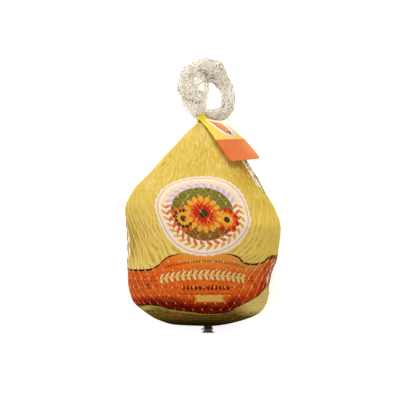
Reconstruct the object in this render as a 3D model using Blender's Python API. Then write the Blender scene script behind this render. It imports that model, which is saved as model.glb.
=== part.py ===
"""A whole frozen turkey in its printed bag and stretched carry net, lying on its back.

Metres, +Z up. +Y runs along the bird towards the carry loop, +X is to the right as seen from above, and the
origin is at the middle of the flat spot that the pack rests on.
"""

import math

import bmesh
import bpy
from mathutils import Matrix, Vector, noise

MM = 0.001
GAP = 0.3  # clearance between neighbouring pieces, in millimetres

# Slices across the netted bird, in millimetres: place along Y, left and right edge, top and underside.
# The first is the gathered tail and the last the gathered neck. The underside is cut off flat at Z = 0.
SLICES = (
    (-136.5, 1.0, 15.0, 83.5, 69.5),
    (-134.2, -46.0, 34.0, 114.0, 38.0),
    (-126.5, -72.0, 65.0, 140.0, 15.0),
    (-114.0, -91.5, 91.5, 160.0, 3.0),
    (-95.0, -112.0, 102.5, 176.0, -2.5),
    (-63.0, -119.5, 105.5, 188.0, -3.0),
    (-20.0, -119.0, 118.5, 195.0, -3.0),
    (19.0, -120.5, 123.5, 195.0, -3.0),
    (48.0, -123.5, 114.5, 188.0, -2.0),
    (78.0, -111.5, 97.0, 173.0, 0.0),
    (107.0, -84.0, 80.0, 152.0, 8.0),
    (145.0, -49.0, 56.0, 120.0, 25.0),
    (170.0, -26.0, 31.0, 94.0, 40.0),
    (180.5, -13.0, 14.5, 78.5, 51.5),
    (186.0, -9.0, 6.0, 72.5, 57.5),
)
WAIST = 0.43  # height of the widest point, as a share of the slice's height
TOP_FULLNESS = 2.25  # superellipse exponents: 2 is a plain ellipse
UNDER_FULLNESS = 2.7

# Forms of the bird that show through bag and net: height, place round the slice in degrees from the top,
# spread in degrees, and the stretch of Y that the form fades in and out of.
FORMS = (
    (4.0, -46.0, 22.0, 35.0, 165.0),  # left leg
    (4.0, 44.0, 22.0, 35.0, 165.0),  # right leg
    (-5.5, 2.0, 15.0, 60.0, 185.0),  # hollow between the legs
    (2.5, 0.0, 20.0, -125.0, 45.0),  # breast keel
    (-2.5, -128.0, 16.0, -90.0, 90.0),  # tuck under the left wing
    (-2.5, 126.0, 16.0, -100.0, 80.0),  # tuck under the right wing
)
LUMP_HEIGHT = 1.3  # uneven lumps of the frozen bird
LUMP_SIZE = 42.0
SOLID_REACH = (4.0, 60.0)  # distances from a slice's middle over which forms and lumps fade in
OUTLINE_FINE = 6  # steps of the outline for each point that is kept

# The net: bars of one length between knots, and the same number of meshes round every row.
MESHES_ROUND = 40
BAR_LENGTH = 16.0
WIDEST_PULL = 0.9  # half a mesh's width, as a share of its bars, where it is pulled widest
LAST_ROW = 0.75  # the last row of meshes is no shorter than this share of a bar
MESH_DIP = 0.075  # how far the bag shows behind the net in each mesh, as a share of the mesh's width
NET_SHARP = 9.0  # the bars between meshes are edges that show
PLEATS = 9
PLEAT_DEPTH = 0.1  # as a share of the distance from the gather's axis
PLEAT_REACH = 55.0  # how far the pleats run from neck and tail

# The carry loop: its middle line as seen from above, the width of the flattened net there and its thickness.
LOOP_ROUTE = (
    (-4.3, 197.3, 18.0, 10.0),
    (-7.8, 206.5, 26.0, 13.0),
    (-13.2, 218.5, 35.5, 15.0),
    (-16.4, 233.0, 40.5, 15.0),
    (-17.0, 249.4, 44.5, 15.0),
    (-8.6, 264.6, 44.5, 16.0),
    (3.5, 269.6, 36.0, 18.0),
    (18.0, 267.8, 32.5, 19.0),
    (29.7, 253.2, 23.0, 19.0),
    (39.2, 237.5, 19.5, 18.0),
    (41.2, 221.0, 18.5, 18.0),
    (36.5, 206.7, 18.5, 17.0),
    (25.0, 199.0, 18.0, 15.0),
    (13.5, 199.3, 13.0, 12.0),
    (3.5, 199.5, 9.0, 9.0),
)
LOOP_STEP = 4.4
LOOP_SIDES = 20
LOOP_CRUMPLE = 0.9
CRUMPLE_SIZE = 7.0
LOOP_FALL = 74.0  # stretch of Y over which the loop sinks from the neck to the floor
NECK = (-1.5, 186.0, 65.0)
TAIL = (8.0, -136.5, 76.5)

# What stands out of the gathered neck and tail: distance from the bag's end, radius and pleat depth.
ROOT_PROFILE = ((0.3, 5.6, 0.0), (8.5, 5.6, 0.0), (12.5, 7.2, 0.0), (17.0, 4.0, 0.0))
ROOT_SIDES = 24
TUFT_PROFILE = (
    (0.3, 4.2, 0.04),
    (3.0, 4.0, 0.05),
    (4.2, 7.6, 0.2),
    (5.6, 6.0, 0.12),
    (7.6, 5.8, 0.08),
    (9.0, 7.8, 0.24),
    (10.6, 6.4, 0.3),
)
TUFT_PLEATS = 8
TUFT_SIDES = 48

CLIP_WIRE = 1.2  # radius of the aluminium wire
CLIP_SIDES = 8
CLIP_STEPS = 28
NECK_CLIP_OUT = 2.0  # distance from the bag's end to the middle of the wire
TAIL_CLIP_OUT = 1.8
TAIL_CLIP_GAP = 0.9  # the tail's pleats swell out inside the clip

# The hang tag: its left and right edge, from the tip over the neck to the free end.
TAG_EDGES = (
    (0.9, 200.6, 76.2, 3.4, 200.4, 76.2),
    (-9.3, 193.8, 74.4, 5.0, 195.5, 74.4),
    (-4.5, 189.0, 74.8, 11.0, 191.5, 75.0),
    (0.2, 184.0, 82.5, 19.5, 189.0, 78.5),
    (4.7, 179.3, 92.5, 30.0, 186.0, 79.5),
    (13.0, 168.5, 110.5, 53.0, 170.0, 74.0),
    (20.4, 157.3, 124.0, 66.2, 158.9, 70.0),
    (43.3, 123.6, 147.0, 91.6, 128.8, 92.0),
)
TAG_ROWS = 30
TAG_COLUMNS = 8
TAG_THICK = 0.9
TAG_CORNER = 7.0
TAG_CORNER_ROWS = 5
COLLAR_OUT = (3.8, 6.6)  # where the tag's collar begins and ends, from the bag's end
COLLAR_RADII = (8.6, 9.6)


def plain_material(name, colour, roughness, metallic=0.0):
    """A Principled material of one colour."""
    material = bpy.data.materials.new(name)
    material.use_nodes = True
    shader = material.node_tree.nodes["Principled BSDF"]
    shader.inputs["Base Color"].default_value = (*colour, 1.0)
    shader.inputs["Roughness"].default_value = roughness
    shader.inputs["Metallic"].default_value = metallic
    return material


def add_object(name, mesh, material, sharp=50.0):
    """Links a mesh with one material, smooth up to the sharp angle in degrees."""
    mesh.materials.append(material)
    mesh.shade_smooth()
    mesh.set_sharp_from_angle(angle=math.radians(sharp))
    made = bpy.data.objects.new(name, mesh)
    bpy.context.scene.collection.objects.link(made)
    return made


def mesh_of(name, points, faces):
    """A closed mesh from points in millimetres, with its faces turned outwards."""
    mesh = bpy.data.meshes.new(name)
    mesh.from_pydata([Vector(p) * MM for p in points], [], faces)
    shape = bmesh.new()
    shape.from_mesh(mesh)
    bmesh.ops.recalc_face_normals(shape, faces=shape.faces)
    shape.to_mesh(mesh)
    shape.free()
    return mesh


def fade(low, high, at):
    """0 below low and 1 above high, with a smooth rise between."""
    share = min(1.0, max(0.0, (at - low) / (high - low)))
    return share * share * (3.0 - 2.0 * share)


def smooth_rows(rows, along):
    """A function that reads the rows by distance: a cubic through them that never overshoots."""
    steps = [b - a for a, b in zip(along, along[1:])]
    slopes = []
    for column in range(len(rows[0])):
        rises = [(b[column] - a[column]) / step for a, b, step in zip(rows, rows[1:], steps)]
        inner = [0.0 if p * q <= 0.0 else 2.0 * p * q / (p + q) for p, q in zip(rises, rises[1:])]
        slopes.append([rises[0], *inner, rises[-1]])

    def read(at):
        i = max(k for k in range(len(steps)) if along[k] <= at or k == 0)
        t = (at - along[i]) / steps[i]
        values = []
        for column, slope in enumerate(slopes):
            start, end = rows[i][column], rows[i + 1][column]
            bend = (1.0 - t) * slope[i] * steps[i] - (1.0 - t) * (end - start)
            lean = t * (end - start) - t * slope[i + 1] * steps[i]
            values.append(start + t * (end - start) + t * (1.0 - t) * (bend + lean))
        return values

    return read


def distances(points):
    """Running distance along a line of points."""
    along = [0.0]
    for a, b in zip(points, points[1:]):
        along.append(along[-1] + math.dist(a, b))
    return along


SLICE_ALONG = distances([(y, (right - left) / 2, (top - under) / 2) for y, left, right, top, under in SLICES])
slice_at = smooth_rows(SLICES, SLICE_ALONG)


def forms_at(turn, y):
    """Height of legs, keel and hollows at a turn from the top, in degrees, and a place along Y."""
    height = 0.0
    for rise, middle, spread, start, end in FORMS:
        third = (end - start) / 3.0
        reach = fade(start, start + third, y) * (1.0 - fade(end - third, end, y))
        away = (turn - middle + 180.0) % 360.0 - 180.0
        height += rise * reach * math.exp(-((away / spread) ** 2))
    return height


def lumps_at(point):
    """Uneven lumps, by smooth noise."""
    return LUMP_HEIGHT * noise.noise(Vector(point) / LUMP_SIZE)


def body_ring(at, count, row, dip):
    """Points round the netted bird at a distance along it, evenly spaced from the middle of the top.

    Every second point is a knot and the others lie in the middle of a mesh, sunk by dip.
    """
    y, left, right, top, under = slice_at(at)
    middle, half = (left + right) / 2.0, (right - left) / 2.0
    waist = under + WAIST * (top - under)
    gathered = 1.0 - fade(0.0, PLEAT_REACH, min(at, SLICE_ALONG[-1] - at))
    outline = []
    fine = OUTLINE_FINE * count
    for step in range(fine):
        angle = math.tau * step / fine
        sideways, upwards = math.sin(angle), math.cos(angle)
        power = 2.0 / (TOP_FULLNESS if upwards >= 0.0 else UNDER_FULLNESS)
        reach = top - waist if upwards >= 0.0 else waist - under
        across = half * math.copysign(abs(sideways) ** power, sideways)
        rise = reach * math.copysign(abs(upwards) ** power, upwards)
        spread = math.hypot(across, rise)
        solid = fade(*SOLID_REACH, spread)
        height = solid * (forms_at(math.degrees(angle), y) + lumps_at((across, y, rise)))
        height += spread * PLEAT_DEPTH * gathered * (1.0 - solid) * math.cos(PLEATS * angle)
        scale = 1.0 + height / spread
        outline.append((middle + across * scale, waist + rise * scale))
    along = distances([*outline, outline[0]])
    points = []
    place = 0
    for column in range(count):
        wanted = along[-1] * column / count
        while along[place + 1] < wanted:
            place += 1
        share = (wanted - along[place]) / (along[place + 1] - along[place])
        near, far = outline[place], outline[(place + 1) % fine]
        across = near[0] + share * (far[0] - near[0])
        rise = near[1] + share * (far[1] - near[1])
        sink = dip * along[-1] / MESHES_ROUND if (row + column) % 2 else 0.0
        inwards = 1.0 - sink / math.hypot(across - middle, rise - waist)
        points.append((middle + (across - middle) * inwards, y, max(0.0, waist + (rise - waist) * inwards)))
    return points


def net_rows():
    """Distances along the bird of the net's rows of knots: a mesh is shorter where it is pulled wide."""
    rows = [0.0]
    end = SLICE_ALONG[-1]
    while rows[-1] < end - LAST_ROW * BAR_LENGTH:
        probe = min(end, rows[-1] + BAR_LENGTH / 2.0)
        ring = body_ring(probe, 2 * MESHES_ROUND, 0, 0.0)
        width = distances([*ring, ring[0]])[-1] / MESHES_ROUND
        rows.append(rows[-1] + math.sqrt(BAR_LENGTH**2 - min(width / 2.0, WIDEST_PULL * BAR_LENGTH) ** 2))
    rows[-1] = end
    return rows


def ring_faces(rings, sides):
    """Triangles between rings of points, each square cut between its two knots."""
    faces = []
    for row in range(rings - 1):
        for column in range(sides):
            after = (column + 1) % sides
            low, low_after = row * sides + column, row * sides + after
            high, high_after = low + sides, low_after + sides
            if (row + column) % 2:
                faces += [(low, low_after, high), (low_after, high_after, high)]
            else:
                faces += [(low, low_after, high_after), (low, high_after, high)]
    return faces


def lofted(name, rings):
    """A closed mesh through rings of points, with flat ends."""
    sides = len(rings[0])
    faces = ring_faces(len(rings), sides)
    first, last = range(sides), range((len(rings) - 1) * sides, len(rings) * sides)
    return mesh_of(name, [p for ring in rings for p in ring], [*faces, tuple(first), tuple(last)])


def netted_turkey():
    """The bird in its bag out to the net, with the net's diamonds as low relief."""
    rings = [body_ring(at, 2 * MESHES_ROUND, row, MESH_DIP) for row, at in enumerate(net_rows())]
    return add_object(
        "netted_turkey",
        lofted("netted_turkey", rings),
        plain_material("yellow_printed_bag", (0.80, 0.53, 0.10), 0.42),
        NET_SHARP,
    )


def loop_height(y, thickness):
    """Height of the carry loop's middle line: it leaves the neck and sinks to lie on the floor."""
    floor = thickness / 2.0 + 1.0
    return floor + (NECK[2] - floor) * (1.0 - fade(0.0, LOOP_FALL, y - NECK[1]))


def loop_rings():
    """Rings along the carry loop, wide and flat on its left arm and rounder on its right."""
    route_along = distances([row[:2] for row in LOOP_ROUTE])
    read = smooth_rows(LOOP_ROUTE, route_along)
    count = round(route_along[-1] / LOOP_STEP)
    rows = [read(route_along[-1] * i / count) for i in range(count + 1)]
    line = [Vector((x, y, loop_height(y, thick))) for x, y, _, thick in rows]
    rings = []
    for i, (_, _, width, thick) in enumerate(rows):
        forward = (line[min(i + 1, count)] - line[max(i - 1, 0)]).normalized()
        across = forward.cross(Vector((0.0, 0.0, 1.0))).normalized()
        upwards = across.cross(forward)
        ring = []
        for side in range(LOOP_SIDES):
            angle = math.tau * side / LOOP_SIDES
            point = line[i] + across * width / 2.0 * math.cos(angle) + upwards * thick / 2.0 * math.sin(angle)
            crumple = LOOP_CRUMPLE * (noise.noise(point / CRUMPLE_SIZE) - 0.5 * ((i + side) % 2))
            point += (point - line[i]).normalized() * crumple
            point.z = max(point.z, GAP)
            ring.append(point)
        rings.append(ring)
    return rings


def turned(profile, sides, start, axis_turn, pleats=0):
    """Rings round an axis that runs along Y from start: the profile gives distance, radius and pleating."""
    rings = []
    for out, radius, depth in profile:
        ring = []
        for side in range(sides):
            angle = math.tau * side / sides
            reach = radius * (1.0 + depth * math.cos(pleats * angle))
            ring.append(Vector((reach * math.sin(angle), out, reach * math.cos(angle))))
        rings.append(ring)
    place = Matrix.Translation(start) @ Matrix.Rotation(axis_turn, 4, "Z")
    return [[place @ point for point in ring] for ring in rings]


def joined(name, meshes, material):
    """One solid from overlapping closed meshes, by a Boolean union on a collection."""
    others = bpy.data.collections.new(name + "_pieces")
    for mesh in meshes[1:]:
        others.objects.link(bpy.data.objects.new(name + "_piece", mesh))
    bpy.context.scene.collection.children.link(others)
    whole = add_object(name, meshes[0], material)
    union = whole.modifiers.new("union", "BOOLEAN")
    union.operation = "UNION"
    union.operand_type = "COLLECTION"
    union.collection = others
    bpy.context.view_layer.update()
    made = bpy.data.meshes.new_from_object(whole.evaluated_get(bpy.context.evaluated_depsgraph_get()))
    whole.modifiers.clear()
    whole.data = made
    for piece in list(others.objects):
        bpy.data.objects.remove(piece)
    bpy.data.collections.remove(others)
    return whole


def carry_loop():
    """The net's free end, bunched into a hand loop, with its root inside the neck clip."""
    root = turned(ROOT_PROFILE, ROOT_SIDES, NECK, 0.0)
    return joined(
        "carry_loop",
        [lofted("carry_loop", loop_rings()), lofted("loop_root", root)],
        plain_material("bunched_net", (0.74, 0.66, 0.52), 0.75),
    )


def tail_tuft():
    """The pleated end of bag and net that stands out of the tail clip."""
    return add_object(
        "tail_tuft",
        lofted("tail_tuft", turned(TUFT_PROFILE, TUFT_SIDES, TAIL, math.pi, TUFT_PLEATS)),
        plain_material("gathered_bag_end", (0.14, 0.09, 0.04), 0.6),
    )


def spun_ring(name, section):
    """A closed ring about the Y axis from a section of (radius, place along Y) in millimetres."""
    shape = bmesh.new()
    corners = [shape.verts.new(Vector((radius, along, 0.0)) * MM) for radius, along in section]
    edges = [shape.edges.new((corners[i - 1], corners[i])) for i in range(len(corners))]
    bmesh.ops.spin(
        shape,
        geom=corners + edges,
        axis=(0.0, 1.0, 0.0),
        cent=(0.0, 0.0, 0.0),
        angle=math.tau,
        steps=CLIP_STEPS,
        use_merge=True,
    )
    bmesh.ops.recalc_face_normals(shape, faces=shape.faces)
    mesh = bpy.data.meshes.new(name)
    shape.to_mesh(mesh)
    shape.free()
    return mesh


def wire_clip(name, bag_end, out, radius, metal):
    """A closed ring of round aluminium wire about the gathered bag."""
    section = []
    for side in range(CLIP_SIDES):
        angle = math.tau * side / CLIP_SIDES
        section.append((radius + CLIP_WIRE * math.cos(angle), CLIP_WIRE * math.sin(angle)))
    clip = add_object(name, spun_ring(name, section), metal)
    clip.location = (Vector(bag_end) + Vector((0.0, out, 0.0))) * MM
    return clip


def tag_sheet():
    """The tag's sheet: straight across from edge to edge, with both corners of its free end rounded."""
    middles = [[(row[i] + row[i + 3]) / 2.0 for i in range(3)] for row in TAG_EDGES]
    along = distances(middles)
    read = smooth_rows(TAG_EDGES, along)
    length = along[-1]
    places = [(length - TAG_CORNER) * i / TAG_ROWS for i in range(TAG_ROWS + 1)]
    turns = [math.pi / 2.0 * (i + 1) / TAG_CORNER_ROWS for i in range(TAG_CORNER_ROWS)]
    places += [length - TAG_CORNER + TAG_CORNER * math.sin(turn) for turn in turns]
    lines = []
    for place in places:
        row = read(place)
        left, right = Vector(row[:3]), Vector(row[3:])
        into_corner = max(0.0, place - (length - TAG_CORNER))
        cut = TAG_CORNER - math.sqrt(max(0.0, TAG_CORNER**2 - into_corner**2))
        trim = cut / (right - left).length
        shares = [trim + (1.0 - 2.0 * trim) * j / TAG_COLUMNS for j in range(TAG_COLUMNS + 1)]
        lines.append([left.lerp(right, share) for share in shares])
    top, bottom = [], []
    for i, line in enumerate(lines):
        before, after = lines[max(i - 1, 0)], lines[min(i + 1, len(lines) - 1)]
        for j, point in enumerate(line):
            across = line[-1] - line[0]
            facing = (after[j] - before[j]).cross(across).normalized()
            if facing.z < 0.0:
                facing.negate()
            top.append(point + facing * TAG_THICK / 2.0)
            bottom.append(point - facing * TAG_THICK / 2.0)
    wide, under = TAG_COLUMNS + 1, len(top)
    faces = []
    for i in range(len(lines) - 1):
        for j in range(TAG_COLUMNS):
            a, b, c, d = i * wide + j, i * wide + j + 1, (i + 1) * wide + j + 1, (i + 1) * wide + j
            faces += [(a, b, c), (a, c, d)]
            faces += [(a + under, c + under, b + under), (a + under, d + under, c + under)]
        for j in (0, TAG_COLUMNS):
            a, d = i * wide + j, (i + 1) * wide + j
            faces.append((a, d, d + under, a + under))
    for i in (0, len(lines) - 1):
        for j in range(TAG_COLUMNS):
            a, b = i * wide + j, i * wide + j + 1
            faces.append((a, b, b + under, a + under))
    return mesh_of("hang_tag", top + bottom, faces)


def hang_tag():
    """The card tag over the right shoulder, with the collar that holds it on the neck."""
    inner, outer = COLLAR_RADII
    near, far = COLLAR_OUT
    collar = spun_ring("tag_collar", ((inner, near), (outer, near), (outer, far), (inner, far)))
    collar.transform(Matrix.Translation(Vector(NECK) * MM))
    return joined(
        "hang_tag",
        [tag_sheet(), collar],
        plain_material("yellow_and_orange_card", (0.90, 0.45, 0.08), 0.35),
    )


def main():
    for old in list(bpy.data.objects):
        bpy.data.objects.remove(old)
    netted_turkey()
    carry_loop()
    tail_tuft()
    hang_tag()
    metal = plain_material("clip_aluminium", (0.62, 0.62, 0.60), 0.38, 1.0)
    wire_clip("neck_clip", NECK, NECK_CLIP_OUT, ROOT_PROFILE[0][1] + GAP + CLIP_WIRE, metal)
    wire_clip("tail_clip", TAIL, -TAIL_CLIP_OUT, TUFT_PROFILE[0][1] + TAIL_CLIP_GAP + CLIP_WIRE, metal)


main()
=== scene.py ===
"""The looks of a whole frozen turkey in its printed bag and carry net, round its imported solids.

The sizes of the form are in millimetres and are the same as in the solids. +Y runs along the bird towards
the carry loop and +Z is up. The print is laid out in label coordinates: U is the distance round the bag
from the middle of its top, and V the distance along it from the tail.
"""

import math

import bpy
import numpy as np
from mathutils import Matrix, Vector, noise


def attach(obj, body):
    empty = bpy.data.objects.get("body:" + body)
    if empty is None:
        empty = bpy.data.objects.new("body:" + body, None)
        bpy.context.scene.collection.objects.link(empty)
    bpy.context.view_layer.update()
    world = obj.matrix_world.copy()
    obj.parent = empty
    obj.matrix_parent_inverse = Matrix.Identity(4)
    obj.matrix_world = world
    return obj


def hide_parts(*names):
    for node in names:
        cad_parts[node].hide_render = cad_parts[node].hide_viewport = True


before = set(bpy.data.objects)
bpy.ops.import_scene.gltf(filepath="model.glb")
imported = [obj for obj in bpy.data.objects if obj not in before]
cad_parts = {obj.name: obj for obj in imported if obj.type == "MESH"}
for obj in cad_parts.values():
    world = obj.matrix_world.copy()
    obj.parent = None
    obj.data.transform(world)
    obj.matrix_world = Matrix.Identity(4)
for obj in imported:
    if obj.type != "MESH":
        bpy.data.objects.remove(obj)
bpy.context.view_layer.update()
MM = 0.001
SEED = 41

# The netted bird: place along Y, left and right edge, top and underside of each slice.
SLICES = (
    (-136.5, 1, 15, 83.5, 69.5),
    (-134.2, -46, 34, 114, 38),
    (-126.5, -72, 65, 140, 15),
    (-114, -91.5, 91.5, 160, 3),
    (-95, -112, 102.5, 176, -2.5),
    (-63, -119.5, 105.5, 188, -3),
    (-20, -119, 118.5, 195, -3),
    (19, -120.5, 123.5, 195, -3),
    (48, -123.5, 114.5, 188, -2),
    (78, -111.5, 97, 173, 0),
    (107, -84, 80, 152, 8),
    (145, -49, 56, 120, 25),
    (170, -26, 31, 94, 40),
    (180.5, -13, 14.5, 78.5, 51.5),
    (186, -9, 6, 72.5, 57.5),
)
WAIST = 0.43
TOP_FULLNESS = 2.25
UNDER_FULLNESS = 2.7
FORMS = (  # swellings: height, degrees from the top, width in degrees, and from and to along Y
    (4, -46, 22, 35, 165),
    (4, 44, 22, 35, 165),
    (-5.5, 2, 15, 60, 185),
    (2.5, 0, 20, -125, 45),
    (-2.5, -128, 16, -90, 90),
    (-2.5, 126, 16, -100, 80),
)
LUMP_HEIGHT = 1.3
LUMP_SIZE = 42
MESHES_ROUND = 40
BAR_LENGTH = 16
PLEATS = 9
PLEAT_DEPTH = 0.1
PLEAT_REACH = 55

# The carry loop: X and Y of its middle line, its width and its thickness.
LOOP_ROUTE = (
    (-4.3, 197.3, 18, 10),
    (-7.8, 206.5, 26, 13),
    (-13.2, 218.5, 35.5, 15),
    (-16.4, 233, 40.5, 15),
    (-17, 249.4, 44.5, 15),
    (-8.6, 264.6, 44.5, 16),
    (3.5, 269.6, 36, 18),
    (18, 267.8, 32.5, 19),
    (29.7, 253.2, 23, 19),
    (39.2, 237.5, 19.5, 18),
    (41.2, 221, 18.5, 18),
    (36.5, 206.7, 18.5, 17),
    (25, 199, 18, 15),
    (13.5, 199.3, 13, 12),
    (3.5, 199.5, 9, 9),
)
LOOP_FALL = 74
NECK = (-1.5, 186, 65)
TAIL = (8, -136.5, 76.5)
# The gathers at the neck and at the tail: place outwards, radius, and at the tail also the pleats' depth.
ROOT_PROFILE = ((0.3, 5.6), (8.5, 5.6), (12.5, 7.2), (17, 4))
TUFT_PROFILE = (
    (-1.4, 7, 0),
    (0.35, 6.7, 0.02),
    (0.7, 4.2, 0.04),
    (3, 4, 0.05),
    (4.2, 7.6, 0.2),
    (5.6, 6, 0.12),
    (7.6, 5.8, 0.08),
    (9, 7.8, 0.24),
    (10.6, 6.4, 0.3),
)
TUFT_PLEATS = 8
TUFT_RINGS = 34
TUFT_SIDES = 120
FRAYS = 64
FRAY_STATIONS = 8
FRAY_RADIUS = 0.45

# The hang tag: its left and right edge, from the tip over the neck to the free end.
TAG_EDGES = (
    (0.9, 200.6, 76.2, 3.4, 200.4, 76.2),
    (-9.3, 193.8, 74.4, 5, 195.5, 74.4),
    (-4.5, 189, 74.8, 11, 191.5, 75),
    (0.2, 184, 82.5, 19.5, 189, 78.5),
    (4.7, 179.3, 92.5, 30, 186, 79.5),
    (13, 168.5, 110.5, 53, 170, 74),
    (20.4, 157.3, 124, 66.2, 158.9, 70),
    (43.3, 123.6, 147, 91.6, 128.8, 92),
)
TAG_CORNER = 7
COLLAR_OUT = (3.8, 6.6)
COLLAR_RADII = (8.6, 9.6)
COLLAR_EDGE = 0.3
COLLAR_STEPS = 72

# Fineness of the form and its film.
FORM_ROWS = 300
FORM_COLUMNS = 720
OUTLINE_STEPS = 480
FILM_ROWS = 240
FILM_COLUMNS = 400
FILM_UNDER_NET = 0.45  # how deep the film lies under the net's outer line at a strand
FILM_PUFF = 0.35  # how far it rises in the middle of each mesh
FILM_FLOOR = 0.8
CREASE_HEIGHT = 0.2
GATHERS = 34  # small pleats near the neck and tail
GATHER_HEIGHT = 0.45

# Where the net is stretched clear of the film: side, from and to along Y, how deep the film lies there, and
# the strands drawn together there: the length in which they cross twice, and how far out they run.
BRIDGES = (
    (1, 60, 162, 6, 64, (0.7, -0.4, -2, -3.5)),
    (-1, -48, 32, 2.6, 20, (0.7, -0.5)),
    (1, -88, -20, 3.8, 28, (0.7, -0.3, -1.6)),
)
DRAWN_RADIUS = 0.6
DRAWN_SWING = 0.6
DRAWN_STATIONS = 60

# The net's strands, from one knot to the next, and a knot: place along it, and radius.
BAR_SHAPE = ((0, 0.3), (0.12, 0.13), (0.5, 0.08), (0.88, 0.13))
TIGHT_BAR = 0.34  # what strands that run down towards the middle of the front gain in radius on its flanks
STRAND_SIDES = 5
KNOT_SHAPE = ((-1.6, 0.25), (-0.9, 0.74), (0, 0.98), (0.9, 0.74), (1.6, 0.25))
KNOT_SIDES = 6
KNOT_SINK = 0.7  # the share of its radius by which a knot is sunk in the film
KNOT_MESH = 11  # knots are full size where a mesh is at least this wide

# The bunched loop: layers of net, as the share of the way out to its skin, and the strands in each.
LOOP_LAYERS = ((0.98, 28), (0.84, 24), (0.68, 16), (0.5, 12))
LOOP_SAMPLES = 240
LOOP_MESH = 6.2  # rows of knots, drawn close by the bunching
LOOP_BAR = ((0, 0.72), (0.2, 0.42), (0.4, 0.36), (0.6, 0.36), (0.8, 0.42))
LOOP_JITTER = (2.2, 1.5)  # how far knots stray along the loop, and round and out of it
LOOP_SLACK = 2.4  # how far the slack bars between knots bulge
LOOP_CORE = 0.4
CORE_RINGS = 150
CORE_SIDES = 28
SHEER_PATCHES = (  # where the floor shows through: middle, half sizes, tilt, and share of strands parted
    (-4.4, 249, 17, 9, -1.05, 0.97),
    (-3.4, 233, 13, 7.5, -1.5, 0.7),
)
GAP_STRANDS = (  # single strands across the top of the loop's gap and down its left side
    ((10, 254.5, 9), (28.5, 243, 9)),
    ((4.6, 262, 10), (4.6, 210, 14)),
)
STRAYS = 90
STRAY_STATIONS = 12
STRAY_RADIUS = 0.36
SHADE_FLECK_RADIUS = 0.42
SHADE_FLECK_ROWS = (  # where short dark strands stand in for the shade in the net's openings: from, to, how wide, and how many
    ((-33, 227), (-2, 217), 3.5, 70),
    ((-8, 271), (20, 256), 4, 70),
    ((22, 282), (38, 262), 4, 16),
    ((28, 206), (42, 222), 4, 30),
    ((-28, 262), (-16, 216), 11, 50),
)
ROOT_STRANDS = 30
ROOT_STATIONS = 24
ROOT_RADIUS = 0.5
LOOSE_SIDES = 4  # of each of the loop's strands
SLANT = (0.3, 0.2, 1)  # their upward direction, which hardly any of them runs along

# The tag's sheet.
TAG_ROWS = 64
TAG_COLUMNS = 24
TAG_THICK = 0.7
TAG_BOW = 0.5
TAG_OVAL = (0.66, 39, 0.3, 26)  # share across and distance from the tip of its middle, and half sizes

# The picture, in metres.
CAMERA_DISTANCE = 10
FRAME_WIDTH = 0.632
FRAME_MIDDLE = (-0.0047, 0.0632)
LIGHT_AIM = (0, 0, 0.08)
FLOOR_SIZE = 6  # half the length of its sides


def fade(low, high, at):
    """0 below low and 1 above high, with a smooth rise between."""
    share = np.clip((at - low) / (high - low), 0, 1)
    return share * share * (3 - 2 * share)


def turns(count):
    """Angles of even steps round a circle."""
    return math.tau * np.arange(count) / count


def stretch(start, end, at):
    """1 in the middle third from start to end, fading to 0 at both."""
    third = (end - start) / 3
    return fade(start, start + third, at) * (1 - fade(end - third, end, at))


def unit(vectors):
    """The vectors' directions."""
    return vectors / np.maximum(np.linalg.norm(vectors, axis=-1, keepdims=True), 1e-9)


def keep_above(points, floor):
    """Raises points that are under a height."""
    points[..., 2] = np.maximum(points[..., 2], floor)


def distances(points):
    """Running distance along a line of points."""
    along = [0]
    for a, b in zip(points, points[1:]):
        along.append(along[-1] + math.dist(a, b))
    return along


def smooth_rows(rows, along):
    """A function that reads the rows by distance: a cubic through them that never overshoots."""
    steps = [b - a for a, b in zip(along, along[1:])]
    slopes = []
    for column in range(len(rows[0])):
        rises = [(b[column] - a[column]) / step for a, b, step in zip(rows, rows[1:], steps)]
        inner = [0 if p * q <= 0 else 2 * p * q / (p + q) for p, q in zip(rises, rises[1:])]
        slopes.append([rises[0], *inner, rises[-1]])

    def read(at):
        i = max(k for k in range(len(steps)) if along[k] <= at or k == 0)
        t = (at - along[i]) / steps[i]
        values = []
        for column, slope in enumerate(slopes):
            start, end = rows[i][column], rows[i + 1][column]
            bend = (1 - t) * slope[i] * steps[i] - (1 - t) * (end - start)
            lean = t * (end - start) - t * slope[i + 1] * steps[i]
            values.append(start + t * (end - start) + t * (1 - t) * (bend + lean))
        return values

    return read


SLICE_ALONG = distances([(row[0], (row[2] - row[1]) / 2, (row[3] - row[4]) / 2) for row in SLICES])
slice_at = smooth_rows(SLICES, SLICE_ALONG)
FORM_LENGTH = SLICE_ALONG[-1]


def outline_ring(at):
    """The netted bird's outline at a distance along it: X and Z from the middle of the top, and Y."""
    y, left, right, top, under = slice_at(at)
    middle, half = (left + right) / 2, (right - left) / 2
    waist = under + WAIST * (top - under)
    gathered = 1 - fade(0, PLEAT_REACH, min(at, FORM_LENGTH - at))
    angle = turns(OUTLINE_STEPS)
    sideways, upwards = np.sin(angle), np.cos(angle)
    over = upwards >= 0
    power = 2 / np.where(over, TOP_FULLNESS, UNDER_FULLNESS)
    across = half * np.sign(sideways) * np.abs(sideways) ** power
    rise = np.where(over, top - waist, waist - under) * np.sign(upwards) * np.abs(upwards) ** power
    spread = np.hypot(across, rise)
    solid = fade(4, 60, spread)
    height = np.zeros(OUTLINE_STEPS)
    for lift, place, width, start, end in FORMS:
        away = (np.degrees(angle) - place + 180) % 360 - 180
        height += lift * stretch(start, end, y) * np.exp(-((away / width) ** 2))
    height += [LUMP_HEIGHT * noise.noise(Vector((a, y, r)) / LUMP_SIZE) for a, r in zip(across, rise)]
    height = solid * height + spread * PLEAT_DEPTH * gathered * (1 - solid) * np.cos(PLEATS * angle)
    scale = 1 + height / spread
    return np.stack([middle + across * scale, np.full(OUTLINE_STEPS, y), waist + rise * scale], 1)


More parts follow.
